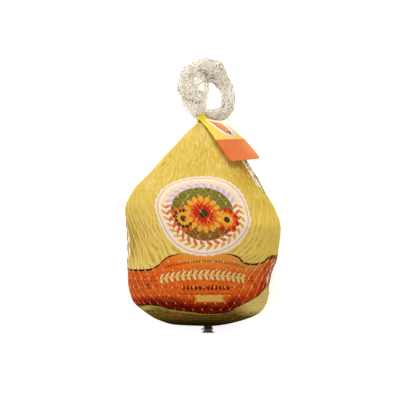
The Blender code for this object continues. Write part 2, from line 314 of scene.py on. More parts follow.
class Form:
    """The netted bird's outer surface, read by distance along it and by share of the way round it."""

    def __init__(self):
        self.points = np.zeros((FORM_ROWS, FORM_COLUMNS, 3))
        self.girths = np.zeros(FORM_ROWS)
        wanted = np.arange(FORM_COLUMNS) / FORM_COLUMNS
        for row in range(FORM_ROWS):
            ring = outline_ring(FORM_LENGTH * row / (FORM_ROWS - 1))
            closed = np.vstack([ring, ring[:1]])
            along = np.concatenate([[0], np.cumsum(np.linalg.norm(np.diff(closed, axis=0), axis=1))])
            self.girths[row] = along[-1]
            for axis in range(3):
                self.points[row, :, axis] = np.interp(wanted * along[-1], along, closed[:, axis])
        keep_above(self.points, 0)

    def at(self, along, share):
        """Points of the surface."""
        row = np.clip(along / FORM_LENGTH, 0, 1) * (FORM_ROWS - 1)
        low = np.minimum(row.astype(int), FORM_ROWS - 2)
        column = (share % 1) * FORM_COLUMNS
        left = column.astype(int) % FORM_COLUMNS
        right = (left + 1) % FORM_COLUMNS
        down, over = (row - low)[..., None], (column - column.astype(int))[..., None]
        near = self.points[low, left] * (1 - over) + self.points[low, right] * over
        far = self.points[low + 1, left] * (1 - over) + self.points[low + 1, right] * over
        return near * (1 - down) + far * down

    def outward(self, along, share):
        """Unit normals of the surface."""
        ahead = self.at(along + 1.5, share) - self.at(along - 1.5, share)
        round_it = self.at(along, share + 0.003) - self.at(along, share - 0.003)
        return unit(np.cross(round_it, ahead))

    def girth(self, along):
        return np.interp(along / FORM_LENGTH * (FORM_ROWS - 1), np.arange(FORM_ROWS), self.girths)

    def label(self, x, y):
        """Label coordinates of the point that is seen from above at X and Y."""
        along = np.interp(y, self.points[:, 0, 1], FORM_LENGTH * np.arange(FORM_ROWS) / (FORM_ROWS - 1))
        share = np.linspace(-0.26, 0.26, 521)
        ring = self.at(np.full(share.shape, along), share)
        place = np.interp(x, ring[:, 0], share)
        return place * self.girth(along), along


def net_rows(form):
    """Distances along the bird of the net's rows of knots: a mesh is shorter where it is pulled wide."""
    rows = [0]
    while rows[-1] < FORM_LENGTH - 0.75 * BAR_LENGTH:
        width = form.girth(min(FORM_LENGTH, rows[-1] + BAR_LENGTH / 2)) / MESHES_ROUND
        rows.append(rows[-1] + math.sqrt(BAR_LENGTH**2 - min(width / 2, 0.9 * BAR_LENGTH) ** 2))
    rows[-1] = FORM_LENGTH
    return np.array(rows)


def new_object(name, data):
    """A new object in the scene."""
    made = bpy.data.objects.new(name, data)
    bpy.context.scene.collection.objects.link(made)
    return made


def add_piece(name, points, faces, material, replaced=()):
    """A smooth-shaded mesh from points in millimetres, which rides on the pack."""
    mesh = bpy.data.meshes.new(name)
    mesh.from_pydata((np.reshape(points, (-1, 3)) * MM).tolist(), [], faces)
    mesh.materials.append(material)
    mesh.shade_smooth()
    piece = new_object(name, mesh)
    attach(piece, "root")
    if replaced:
        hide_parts(*replaced)
    return piece


def set_map(piece, name, values):
    """Gives a mesh a UV map from a value for each corner of each face."""
    layer = piece.data.uv_layers.new(name=name)
    layer.data.foreach_set("uv", np.asarray(values, np.float32).ravel())


def set_point_map(piece, name, values):
    """Gives a mesh a UV map from a value for each point."""
    corners = np.zeros(len(piece.data.loops), np.int32)
    piece.data.loops.foreach_get("vertex_index", corners)
    set_map(piece, name, np.reshape(values, (-1, 2))[corners])


def tube_faces(paths, stations, sides):
    """Faces of many tubes, each with the same number of stations, and closed ends."""
    index = np.arange(paths * stations * sides).reshape(paths, stations, sides)
    after = np.roll(index, -1, axis=2)
    quads = np.stack([index[:, :-1], after[:, :-1], after[:, 1:], index[:, 1:]], -1).reshape(-1, 4)
    return quads.tolist() + index[:, 0, ::-1].tolist() + index[:, -1].tolist()


def add_tubes(name, lines, ups, radii, sides, material, replaced=()):
    """A piece of tubes along lines of stations, with a radius and an upward direction at each station."""
    forward = unit(np.gradient(lines, axis=1))
    across = unit(np.cross(forward, ups))
    upright = np.cross(across, forward)
    turn = turns(sides)[:, None]
    ring = across[:, :, None] * np.cos(turn) + upright[:, :, None] * np.sin(turn)
    points = lines[:, :, None] + ring * np.broadcast_to(radii, lines.shape[:2])[:, :, None, None]
    return add_piece(name, points, tube_faces(*lines.shape[:2], sides), material, replaced)


def srgb(red, green, blue):
    """A colour as it looks on a screen, from 0 to 255, turned into Blender's linear values."""
    values = [v / 255 for v in (red, green, blue)]
    return tuple(v / 12.92 if v <= 0.04045 else ((v + 0.055) / 1.055) ** 2.4 for v in values) + (1.0,)


def fill(node, inputs):
    """Links fields and coats to a node's inputs, and sets the others to plain numbers and colours."""
    for key, value in inputs.items():
        if isinstance(value, (Field, Coat)):
            value = value.source
        if isinstance(value, bpy.types.NodeSocket):
            node.id_data.links.new(value, node.inputs[key])
        else:
            node.inputs[key].default_value = value
    return node


class Field:
    """A number that varies over a surface: arithmetic on it adds shader nodes."""

    def __init__(self, source):
        self.source = source
        self.tree = source.node.id_data

    def math(self, operation, *others):
        node = self.tree.nodes.new("ShaderNodeMath")
        node.operation = operation
        return Field(fill(node, dict(enumerate((self, *others)))).outputs[0])

    def __add__(self, other):
        return self.math("ADD", other)

    def __sub__(self, other):
        return self.math("SUBTRACT", other)

    def __rsub__(self, other):
        return self.math("MULTIPLY_ADD", -1, other)

    def __mul__(self, other):
        return self.math("MULTIPLY", other)

    def __truediv__(self, other):
        return self.math("DIVIDE", other)

    def __abs__(self):
        return self.math("ABSOLUTE")

    def __or__(self, other):
        """The greater of two masks."""
        return self.math("MAXIMUM", other)

    def rising(self, low, high):
        """0 below low and 1 above high."""
        node = self.tree.nodes.new("ShaderNodeMapRange")
        node.interpolation_type = "SMOOTHSTEP"
        return Field(fill(node, {"Value": self, "From Min": low, "From Max": high}).outputs["Result"])

    def falling(self, low, high):
        return 1 - self.rising(low, high)

    def above(self, edge, soft):
        """1 where the field is over an edge, which may be a field, across a soft width."""
        return (self - edge).rising(-soft / 2, soft / 2)

    def below(self, edge, soft):
        return 1 - self.above(edge, soft)

    def between(self, low, high, soft):
        return self.above(low, soft) * self.below(high, soft)

    def curve(self, points):
        """A smooth curve through points of (field, value)."""
        places, values = zip(*points)
        first, span = places[0], places[-1] - places[0]
        low, high = min(values) - CURVE_MARGIN, max(values) + CURVE_MARGIN
        node = self.tree.nodes.new("ShaderNodeFloatCurve")
        fill(node, {"Value": (self - first) / span})
        line = node.mapping.curves[0]
        scaled = [((place - first) / span, (value - low) / (high - low)) for place, value in points]
        line.points[0].location, line.points[-1].location = scaled[0], scaled[-1]
        for place in scaled[1:-1]:
            line.points.new(*place)
        node.mapping.update()
        return Field(node.outputs["Value"]) * (high - low) + low


class Coat:
    """A colour, with others laid over it by masks."""

    def __init__(self, tree, colour):
        self.tree = tree
        self.source = colour

    def lay(self, colour, mask):
        """Lays a colour or another coat over it where the mask is 1."""
        node = self.tree.nodes.new("ShaderNodeMix")
        node.data_type = "RGBA"
        self.source = fill(node, {0: mask, 6: self, 7: colour}).outputs[2]
        return self


class Finish:
    """A Principled material."""

    def __init__(self, name, roughness, metallic=0, specular=0.5):
        self.material = bpy.data.materials.new(name)
        self.material.use_nodes = True
        self.tree = self.material.node_tree
        self.shader = self.tree.nodes["Principled BSDF"]
        fill(self.shader, {"Roughness": roughness, "Metallic": metallic, "Specular IOR Level": specular})

    def split(self, socket):
        """Three fields from a vector."""
        parts = fill(self.tree.nodes.new("ShaderNodeSeparateXYZ"), {0: socket})
        return [Field(output) for output in parts.outputs]

    def uv(self, name):
        """Both fields of a UV map."""
        node = self.tree.nodes.new("ShaderNodeUVMap")
        node.uv_map = name
        return self.split(node.outputs["UV"])[:2]

    def place(self):
        """The object's own coordinates, in metres."""
        return self.split(self.tree.nodes.new("ShaderNodeTexCoord").outputs["Object"])

    def noise(self, fields, detail=2, rough=0.5):
        """Noise over three fields, from 0 to 1 with a mean of a half."""
        vector = fill(self.tree.nodes.new("ShaderNodeCombineXYZ"), dict(enumerate(fields))).outputs[0]
        node = self.tree.nodes.new("ShaderNodeTexNoise")
        fill(node, {"Vector": vector, "Scale": 1, "Detail": detail, "Roughness": rough})
        return Field(node.outputs["Fac"])

    def coat(self, colour):
        return Coat(self.tree, colour)

    def done(self, colour, relief=None, raised=0, roughness=None):
        """The material in a colour, with fine relief whose 1 is raised so many metres."""
        fill(self.shader, {"Base Color": colour})
        if relief:
            node = fill(self.tree.nodes.new("ShaderNodeBump"), {"Distance": raised, "Height": relief})
            fill(self.shader, {"Normal": node.outputs["Normal"]})
        if roughness:
            fill(self.shader, {"Roughness": roughness})
        return self.material


# The print's colours, as they look on a screen.
YELLOW = srgb(230, 194, 78)
SHADED_TOP_YELLOW = srgb(212, 181, 68)
RIGHT_YELLOW = srgb(250, 214, 78)
PALE_YELLOW = srgb(238, 214, 142)
PALE_LINE = srgb(244, 216, 148)
STRAW = srgb(246, 218, 122)
MOSS = srgb(176, 152, 62)
AMBER = srgb(202, 152, 36)
OLIVE = srgb(132, 99, 30)
DARK_OLIVE = srgb(46, 30, 10)
CREAM = srgb(244, 228, 206)
LAVENDER = srgb(220, 202, 212)
PALE_GOLD = srgb(246, 212, 156)
PLATE_GOLD = srgb(236, 186, 92)
GRAIN_GOLD = srgb(240, 214, 132)
ROSE = srgb(210, 174, 186)
SAGE = srgb(138, 124, 52)
DARK_GREEN = srgb(74, 66, 24)
BRONZE = srgb(158, 100, 36)
BROWN = srgb(84, 48, 26)
GOLD = srgb(230, 162, 52)
ORANGE = srgb(222, 100, 34)
BAND_GOLD = srgb(232, 154, 64)
BAND_ORANGE = srgb(252, 104, 20)
BAND_RED = srgb(190, 36, 10)
MAROON = srgb(82, 8, 4)
DARK_LINE = srgb(50, 10, 10)
RED = srgb(190, 44, 24)
END_SHADE = srgb(24, 15, 7)

# The print's layout on the top view, in millimetres.
PLAQUE_CENTRE = (1, 38)
PLAQUE_RADII = (74, 63)
BAND_TOP = (
    (-118, -46),
    (-92, -47),
    (-74, -41.5),
    (-49, -24),
    (-20, -19.5),
    (2, -18.5),
    (27, -20),
    (55, -26),
    (78, -38),
    (95, -36),
    (108, -27),
)
BAND_BOTTOM = (
    (-101, -103),
    (-84, -101),
    (-68, -103.4),
    (-52, -107.6),
    (-20, -112),
    (16, -115),
    (51, -105.5),
    (80, -91.5),
    (96.5, -79),
    (107, -65),
    (111, -58),
)
BAND_BACK = (-34, -72)  # its edges along Y at the seam under the pack
SEAM_U = 350
CURVE_MARGIN = 5
GARLAND_MIDDLE = (1, -54)
GARLAND_REACH = 70
GARLAND_SAG = 7
GRAIN_STEP = 9
STITCHES = (5.6, -32.5, 66, 10.5)  # middle X and Y, half length and sag of an arc over the garland
BEAD_ROW = (5, -75, 40)  # middle X and Y, and half length
RULES = (  # middle X and Y, half length, half width and colour
    (5, -84, 44, 0.65, MAROON),
    (4, -100, 66, 0.65, MAROON),
    (4, -104.5, 58, 0.65, MAROON),
    (14, -118.5, 42, 1.9, DARK_OLIVE),
    (11, -122.5, 34, 2.3, DARK_OLIVE),
    (9, -126.5, 24, 2.3, DARK_OLIVE),
)
NAMEPLATE = (10.5, -91.5, 25, 6.4)  # middle X and Y, and half sizes
SMUDGES = ((-41, -117, 7, 7), (56, -112, 8, 7))
PAINTED_EDGE_SHADE = (-115, -2, 32, 50)  # painted shade near the left edge, where the film turns away from the light
DEEPER_YELLOW = (26, 70)  # from there to the right the yellow is less pale
DARKER_END = (106, 136)  # the right end of the band is redder there, and its top line is thicker
EDGE_DASHES = ((-52.5, 133, 6.5), (-62, 121, 7.5))  # short brown marks near the left edge
OLIVE_SHADE = (98, 72)  # the olive ground darkens to the tail, partly darker print and partly painted shade of the underside: V at half way, and how softly
END_REACH = (60, 34)  # and is nearly black round its end, as painted shade
END_PLEATS = (30, 30)  # where lighter pleats, painted highlights on the folds, run to the tail
BLOSSOMS = (  # on the plaque: place, radius, number of petals, and colours from the outside
    (-33, -10, 21, 12, (ORANGE, BROWN, GOLD, BROWN)),
    (35, -12, 20, 10, (RED, ORANGE, GOLD, BROWN)),
    (0, -2, 31, 16, (GOLD, ORANGE, RED, BROWN)),
)


class Print(Finish):
    """A finish in label coordinates, with the orange band's edges and the depth below its top edge."""

    def __init__(self, name, roughness, form):
        super().__init__(name, roughness, specular=0)
        self.form = form
        self.u, self.v = self.uv("label")
        lines = zip((BAND_TOP, BAND_BOTTOM), BAND_BACK)
        self.top, self.bottom = [self.edge(line, back) for line, back in lines]
        self.depth = (self.top - self.v) / (self.top - self.bottom)
        # The lower right, where the olive ground and the net over it are painted lighter: painted light.
        self.painted_light_right = self.u.rising(36, 92) * self.v.rising(98, 124)

    def edge(self, line, back):
        """The V of a line across the top view, carried round to the seam under the pack."""
        (seam,) = self.heights(back)
        placed = [self.form.label(x, y) for x, y in line]
        return self.u.curve([(-SEAM_U, seam), *placed, (SEAM_U, seam)])

    def heights(self, *places):
        """V at places along Y."""
        return [self.form.label(0, y)[1] for y in places]

    def around(self, x, y):
        """Distances from a point of the top view, round the bag and along it."""
        middle_u, middle_v = self.form.label(x, y)
        return self.u - middle_u, self.v - middle_v

    def oval(self, x, y, wide, tall):
        """Distance from a point of the top view, as a share of an oval's radii."""
        across, upwards = self.around(x, y)
        return length_of(across / wide, upwards / tall)

    def grain(self, wide, long, at, rough=0.5, detail=2):
        """Noise with spots of about this width round the bag and this length along it."""
        return self.noise((self.u / wide, self.v / long, at), detail, rough)


def length_of(across, upwards):
    return (across * across + upwards * upwards).math("SQRT")


def leaf(across, upwards, tilt, long, thin):
    """A pointed leaf's mask: its half sizes, and its tilt from the across direction."""
    cosine, sine = math.cos(tilt), math.sin(tilt)
    lengthways = (across * cosine + upwards * sine) / long
    sideways = (upwards * cosine - across * sine) / thin
    return (lengthways * lengthways + abs(sideways)).below(1, 0.25)


def repeated(field, step):
    """Distance from the middle of each cell of a repeating row."""
    return ((field / step).math("FRACT") - 0.5) * step


def bag_finish(form):
    """The printed film: yellow, with an oval plaque over an orange band."""
    film = Print("printed_film", 0.4, form)
    ground = yellow_ground(film)
    band_and_end(film, ground)
    band_ornaments(film, ground)
    plaque(film, ground)
    relief = film.grain(3.2, 24, 0, 0.6, 3)
    return film.done(ground, relief, 0.0006, film.grain(9, 22, 4) * 0.26 + 0.34)


def yellow_ground(film):
    """Yellow with fine pale and amber streaks along the bird and wood-like arcs beside the plaque, with
    painted shade on the top, under the tag and near the left edge.
    """
    u, v = film.u, film.v
    upper = v.rising(*film.heights(20, 100))
    lower = v.falling(*film.heights(10, 66))
    deeper = u.rising(*DEEPER_YELLOW)
    ground = film.coat(YELLOW)
    ground.lay(RIGHT_YELLOW, u.rising(44, 110) * lower)
    # The top is painted a darker yellow: painted shade that evens out the strong key light there.
    ground.lay(SHADED_TOP_YELLOW, upper)
    ground.lay(PALE_YELLOW, film.grain(55, 70, 1).rising(0.42, 0.72) * (0.4 - deeper * 0.3))
    amber = film.grain(2.8, 24, 7, 0.7).rising(0.52, 0.64)
    ground.lay(AMBER, amber * (upper * 0.3 + deeper * 0.2 + 0.25))
    pale = film.grain(2.6, 16, 2, 0.7).rising(0.51, 0.61)
    ground.lay(PALE_YELLOW, pale * (upper * 0.35 - deeper * 0.15 + 0.3))
    # The right shoulder under the tag is painted a deeper amber: painted shade of the tag's shadow.
    ground.lay(AMBER, u.rising(28, 74) * v.rising(*film.heights(62, 108)) * 0.6)
    out = film.oval(*PLAQUE_CENTRE, 1.15, 1)
    arcs = ((out + film.grain(44, 44, 3, detail=1) * 24) * (math.tau / 7.8)).math("SINE")
    broken = film.grain(10, 18, 8).rising(0.38, 0.58) * lower * (1 - u.rising(76, 118) * 0.7)
    ground.lay(AMBER, arcs.rising(0.1, 0.9) * broken * 0.75)
    ground.lay(PALE_LINE, (arcs * -1).rising(0, 0.85) * (broken * 0.4 + 0.3) * lower)
    brushed = film.grain(4, 30, 17, 0.6).rising(0.36, 0.6)
    # Painted shade near the left edge, broken into brushed streaks.
    ground.lay(MOSS, film.oval(*PAINTED_EDGE_SHADE).below(0.6, 0.9) * (brushed * 0.55 + 0.45))
    for x, y, long in EDGE_DASHES:
        ground.lay(BROWN, leaf(*film.around(x, y), 1.3, long, 1.3) * 0.8)
    return ground


def band_and_end(film, ground):
    """The orange band with its dark edge lines, and the olive ground below it."""
    u, v, top, bottom = film.u, film.v, film.top, film.bottom
    ground.lay(olive_end(film), v.below(bottom, 1))
    ground.lay(orange_shade(film), v.between(bottom, top, 0.8))
    rim = abs(u).rising(30, 62) * 1.3 + u.rising(*DARKER_END) * 1.6 + 0.3
    ground.lay(MAROON, (abs(v - top) - rim).below(0, 0.6) * abs(u).rising(16, 40))
    ground.lay(DARK_LINE, abs(v - bottom).below(1.8 - u.rising(20, 70) * 0.8, 1.2))


def olive_end(film):
    """Brushed olive with two faint reddish smudges, lighter on the right as painted light, darker towards
    the tail partly as painted shade, with patches of painted shadow, and painted highlights along a fold
    under the band and at its left corner.
    """
    u, v, under = film.u, film.v, film.v - film.bottom
    olive = film.coat(OLIVE)
    olive.lay(DARK_OLIVE, v.below(*OLIVE_SHADE))
    olive.lay(STRAW, film.painted_light_right)
    brushed = film.grain(11, 3.6, 12, 0.7)
    olive.lay(DARK_OLIVE, brushed.rising(0.5, 0.62) * (0.5 - film.painted_light_right * 0.25))
    olive.lay(MOSS, brushed.below(0.46, 0.1) * v.above(92, 30) * 0.35)
    # Painted highlights: along a fold just under the band, and at the olive's left corner.
    olive.lay(MOSS, abs(under + 4).below(2.6, 2.6) * u.below(10, 120) * 0.7)
    olive.lay(STRAW, (under + 8).between(-4, 4, 4) * u.below(-88, 36) * 0.5)
    shadows = film.grain(15, 9, 15).rising(0.46, 0.6)
    olive.lay(DARK_OLIVE, shadows * v.below(118, 26) * u.rising(24, 50) * 0.6)
    gathered_end(film, olive)
    left, right = [film.oval(*smudge).below(1, 0.5) for smudge in SMUDGES]
    return olive.lay(BAND_RED, (left | right) * film.grain(2.2, 2.2, 10, 0.7).rising(0.44, 0.56) * 0.6)


def gathered_end(finish, colour):
    """The gathered end darkened nearly to black as painted shade, with lighter pleats as painted highlights
    that run to the tail.
    """
    u, v = finish.u, finish.v
    pleats = finish.noise((u / (v + 1) * 6, v / 40, 16), 2, 0.6).rising(0.42, 0.6)
    colour.lay(END_SHADE, v.below(*END_REACH))
    colour.lay(MOSS, v.below(*END_PLEATS) * (pleats * 0.45 + 0.06))


def orange_shade(film):
    """The band's colours, gold at its top and maroon at its bottom, mottled and streaked."""
    u, depth = film.u, film.depth
    glow = depth + film.grain(26, 14, 5) * 0.16
    shade = film.coat(BAND_GOLD)
    shade.lay(BAND_ORANGE, (glow + u.below(-34, 50) * 0.2).rising(0.09, 0.44))
    shade.lay(BAND_RED, glow.rising(0.72, 0.94) * (1 - u.rising(44, 84) * 0.4))
    shade.lay(MAROON, glow.rising(0.79, 0.95) * (1 - u.rising(44, 84) * 0.9))
    shade.lay(BAND_RED, abs(u).rising(62, 125) * (1 - u.rising(0, 60) * 0.9) * 0.48)
    shade.lay(BAND_RED, u.rising(*DARKER_END) * 0.8)
    shade.lay(BAND_RED, u.below(-56, 60) * depth.below(0.45, 0.5) * 0.45)
    streaks = film.grain(34, 2.2, 9, 0.6).rising(0.52, 0.66)
    shade.lay(BAND_GOLD, streaks * depth.below(0.8, 0.3) * 0.4)
    mottled = film.grain(3.6, 3, 13, 0.7)
    shade.lay(BAND_RED, mottled.rising(0.52, 0.62) * depth.rising(0.05, 0.35) * 0.65)
    shade.lay(BAND_GOLD, mottled.below(0.44, 0.1) * depth.below(0.75, 0.3) * 0.62)
    patches = film.grain(13, 8, 14, detail=1).rising(0.48, 0.62)
    return shade.lay(BAND_RED, patches * depth.rising(0.05, 0.4) * 0.25)


def band_ornaments(film, ground):
    """A cream ear of grain along the band, beads, plain rules and a bare nameplate under it."""
    garland(film, ground)
    x, y, half, sag = STITCHES
    across, upwards = film.around(x, y)
    away = across / half
    stitch = abs(repeated(across, 4.4)).below(1.3, 0.6) * abs(upwards + away * away * sag).below(1.9, 0.6)
    ground.lay(MAROON, stitch * abs(away).below(1, 0.02) * 0.6)
    x, y, half = BEAD_ROW
    across, upwards = film.around(x, y)
    bead = abs(repeated(across, 6.4)) / 2.7 + abs(upwards) / 4.6
    ground.lay(MAROON, bead.below(1, 0.2) * abs(across).below(half, 0.3) * 0.85)
    for x, y, half, thick, colour in RULES:
        across, upwards = film.around(x, y)
        line = abs(upwards).below(thick, 0.4) * abs(across).below(half, 0.4)
        ground.lay(colour, abs(repeated(across, 5)).below(2.1, 0.4) * line * 0.7)
    x, y, half, high = NAMEPLATE
    across, upwards = [abs(field) for field in film.around(x, y)]
    notch = across + (1 - upwards / high) * 4
    for colour, inset, low_inset in ((GOLD, 0, 0), (PLATE_GOLD, 2.4, 1.5)):
        ground.lay(colour, notch.below(half - inset, 0.6) * upwards.below(high - low_inset, 0.5))


def garland(film, ground):
    """An ear of grain with a red shadow, and three maroon sprigs at each of its ends."""
    across, upwards = film.around(*GARLAND_MIDDLE)
    away = across / GARLAND_REACH
    rise = upwards + away * away * GARLAND_SAG
    cell = repeated(across, GRAIN_STEP)
    within = abs(away).below(1, 0.02)
    stalk = abs(rise).below(0.7, 0.4)
    shadow, grains = [
        leaf(cell, rise - 4.2, 0.95, long, thin) | leaf(cell, rise + 4.2, -0.95, long, thin)
        for long, thin in ((6.6, 3.4), (5.6, 2.4))
    ]
    ground.lay(BAND_RED, shadow * within)
    ground.lay(GRAIN_GOLD, (grains | stalk) * within)
    for side in (-1, 1):
        for number, (out, tilt) in enumerate(((82, 0.5), (90, -0.6), (97, 0.2))):
            place = across - side * out, upwards + (GARLAND_SAG + 6 * number)
            sprig = leaf(*place, side * tilt, 6.5, 2.6)
            ground.lay(MAROON, sprig * (1 - leaf(*place, side * tilt, 5, 1.6)) * 0.8)


def plaque(film, ground):
    """A cream oval with a scalloped rim, a wreath of leaves and three flowers."""
    (x, y), (reach_x, reach_y) = PLAQUE_CENTRE, PLAQUE_RADII
    left, right = [film.form.label(x + s * reach_x, y)[0] for s in (-1, 1)]
    low, high = film.heights(y - reach_y, y + reach_y)
    pu, pv = film.u - (left + right) / 2, film.v - (low + high) / 2
    across, upwards = pu / ((right - left) / 2), pv / ((high - low) / 2)
    radius = length_of(across, upwards)
    turn = across.math("ARCTAN2", upwards)
    ground.lay(CREAM, radius.below(abs((turn * 20).math("COSINE")) * 0.022 + 0.978, 0.02))
    ground.lay(ORANGE, radius.between(0.925, 0.94, 0.012))
    inner = film.coat(CREAM).lay(LAVENDER, upwards.rising(0.1, 0.5) * radius.falling(0.74, 0.9))
    ground.lay(inner, radius.below(0.89, 0.02))
    hills = film.noise((pu / 20, pv / 9, 6)) * 0.5
    field = film.coat(BRONZE).lay(SAGE, (upwards + hills).rising(0, 0.5))
    field.lay(DARK_GREEN, film.noise((pu / 5, pv / 3, 11), 2, 0.6).rising(0.46, 0.56) * 0.6)
    ground.lay(field, radius.below(0.65, 0.02))
    top = abs(turn).below(1.3, 0.3)
    for ring, tilt, upper_colour, lower_colour in ((0.8, 0.8, PALE_GOLD, GOLD), (0.71, -0.8, ROSE, ORANGE)):
        step = math.tau / round(42 * ring)
        leaves = leaf(repeated(turn, step) * ring, radius - ring, tilt, step * ring * 0.62, 0.034)
        ground.lay(film.coat(lower_colour).lay(upper_colour, top), leaves)
    for x, y, size, petals, colours in BLOSSOMS:
        blossom(ground, pu - x, pv - y, size, petals, colours)


def blossom(ground, across, upwards, size, petals, colours):
    """A flower seen from the front, each colour a smaller ring of petals, with dark lines between them."""
    radius = length_of(across, upwards) / size
    turn = across.math("ARCTAN2", upwards) * (petals / 2)
    for number, colour in enumerate(colours):
        wave = abs((turn + number * math.pi / 2).math("COSINE"))
        share = 1 - 0.23 * number
        edge = 0.24 if number == len(colours) - 1 else (wave * 0.24 + 0.76) * share
        ground.lay(colour, radius.below(edge, 0.05))
        if number < 2:
            ground.lay(BROWN, wave.below(0.3, 0.3) * radius.between(0.3, share * 0.8, 0.1) * 0.4)


def bag_film(form, rows):
    """The film over the bird: under the net it is pressed in, and in each mesh it swells a little."""
    row_at = np.linspace(0, FORM_LENGTH, FILM_ROWS + 1)
    left = np.arange(FILM_COLUMNS) / FILM_COLUMNS - 0.5
    along, share = np.meshgrid(row_at, left, indexing="ij")
    points, normals = form.at(along, share), form.outward(along, share)
    knot_row = np.interp(along, rows, np.arange(len(rows)))
    column = share * 2 * MESHES_ROUND
    between = [np.sin(math.pi * (column + way * knot_row) / 2) for way in (-1, 1)]
    creases = [noise.noise(Vector((x / 7, y / 30, z / 7))) for x, y, z in points.reshape(-1, 3)]
    creases = np.array(creases).reshape(along.shape)
    from_end = np.minimum(along, FORM_LENGTH - along)
    ends = 1 - fade(8, 105, from_end)
    gathers = np.cos(GATHERS * math.tau * share + 4 * creases) * ends
    depth = FILM_UNDER_NET - FILM_PUFF * np.abs(between[0] * between[1]) ** 0.6 + CREASE_HEIGHT * creases
    depth += GATHER_HEIGHT * 0.5 * (1 + gathers) * ends
    depth *= fade(0, 10, from_end)
    for side, start, end, deep, *_ in BRIDGES:
        depth += deep * stretch(start, end, points[..., 1]) * fade(0.5, 0.95, side * normals[..., 0])
    points = points - normals * depth[..., None]
    keep_above(points, FILM_FLOOR)
    index = np.arange(along.size).reshape(along.shape)
    after = np.roll(index, -1, axis=1)
    quads = np.stack([index[:-1], index[1:], after[1:], after[:-1]], -1).reshape(-1, 4)
    faces = quads.tolist() + [index[0].tolist(), index[-1, ::-1].tolist()]
    made = add_piece("bag_film", points, faces, bag_finish(form), ("netted_turkey",))
    right = left + 1 / FILM_COLUMNS
    side = np.stack([left, left, right, right], -1)[None]
    place = np.stack([row_at[:-1], row_at[1:], row_at[1:], row_at[:-1]], -1)[:, None]
    caps = np.zeros((2 * FILM_COLUMNS, 2))
    caps[FILM_COLUMNS:, 1] = 1
    for name, across, upwards, scale in (
        ("label", side * form.girth(place), place, FORM_LENGTH),
        ("OFBake", side + 0.5, place / FORM_LENGTH, 1),
    ):
        corners = np.stack(np.broadcast_arrays(across, upwards), -1).reshape(-1, 2)
        set_map(made, name, np.vstack([corners, caps * scale]))


def net_finish(name, light, dark, share=(0.35, 0.7), patch=0.0033, low=None):
    """Pale plastic net with darker patches; if a low colour is given, the strands take it towards the tail,
    at the sides of the band, as painted shade.
    """
    net = Finish(name, 0.38, specular=0.25)
    x, y, z = net.place()
    colour = net.coat(light).lay(dark, net.noise((x / patch, y / patch, z / patch), 3, 0.6).rising(*share))
    if low:
        colour.lay(low, y.below(-0.03, 0.05) * 0.8)
    return net.done(colour)


def tinted_net(name, form, on_yellow, on_band, on_flank, on_olive):
    """Net so clear that it takes some of the colour of the print under it, with the film's painted light
    and painted shade over the olive end.
    """
    net = Print(name, 0.35, form)
    band = net.coat(on_band).lay(on_flank, abs(net.u).rising(40, 90))
    band.lay(BAND_RED, net.depth.rising(0.55, 1) * 0.5)
    olive = net.coat(on_olive).lay(DARK_OLIVE, net.v.below(*OLIVE_SHADE) * 0.8)
    olive.lay(on_yellow, net.painted_light_right)
    gathered_end(net, olive)
    colour = net.coat(on_yellow).lay(band, net.v.below(net.top, 4))
    return net.done(colour.lay(olive, net.v.below(net.bottom, 5)))


def add_net(name, form, along, share, radii, sink, floor, sides, finish):
    """Tubes on the form, sunk by a share of their radii, with label coordinates."""
    normal = form.outward(along, share)
    lines = form.at(along, share) - normal * (radii * sink)[..., None]
    keep_above(lines, floor)
    made = add_tubes(name, lines, normal, radii, sides, finish)
    label = np.stack([((share + 0.5) % 1 - 0.5) * form.girth(along), along + 0 * share], -1)
    set_point_map(made, "label", np.repeat(label.reshape(-1, 2), sides, 0))


def body_net(form, rows):
    """The stretched net: two families of strands that cross at its knots."""
    places, radii = np.array(BAR_SHAPE).T
    bars = len(rows) - 1
    knot_row = np.append(np.arange(bars)[:, None] + places, bars)
    radii = np.append(np.tile(radii, bars), radii[0])
    along = np.interp(knot_row, np.arange(len(rows)), rows)
    front = 1 - fade(40, 90, form.at(along, 0 * along)[:, 1])
    lean = np.repeat((-1.0, 1.0), MESHES_ROUND)[:, None]
    start = np.tile(np.arange(0, 2 * MESHES_ROUND, 2), 2)[:, None]
    share = (start + lean * knot_row) / (2 * MESHES_ROUND)
    beside = (share + 0.5) % 1 - 0.5
    sizes = radii + TIGHT_BAR * fade(0.05, 0.14, lean * beside) * front
    colours = (srgb(251, 228, 154), srgb(236, 138, 76), srgb(250, 176, 118), srgb(112, 90, 44))
    finish = tinted_net("net_strand", form, *colours)
    add_net("body_net", form, along, share, sizes, 1, sizes, STRAND_SIDES, finish)


def net_knots(form, rows):
    """The white knots where the strands cross, smaller where the net is gathered."""
    out, radii = np.array(KNOT_SHAPE).T
    numbers = np.repeat(np.arange(1, len(rows) - 1), MESHES_ROUND)
    start = np.tile(2 * np.arange(MESHES_ROUND), len(rows) - 2) + numbers
    size = np.clip(form.girth(rows[numbers]) / MESHES_ROUND / KNOT_MESH, 0.25, 1)[:, None]
    along = rows[numbers][:, None] + out * size
    share = np.repeat((start / (2 * MESHES_ROUND))[:, None], len(out), 1)
    colours = (srgb(242, 214, 128), srgb(255, 226, 192), srgb(255, 222, 180), srgb(128, 104, 56))
    finish = tinted_net("net_knot", form, *colours)
    add_net("net_knots", form, along, share, radii * size, KNOT_SINK, radii, KNOT_SIDES, finish)


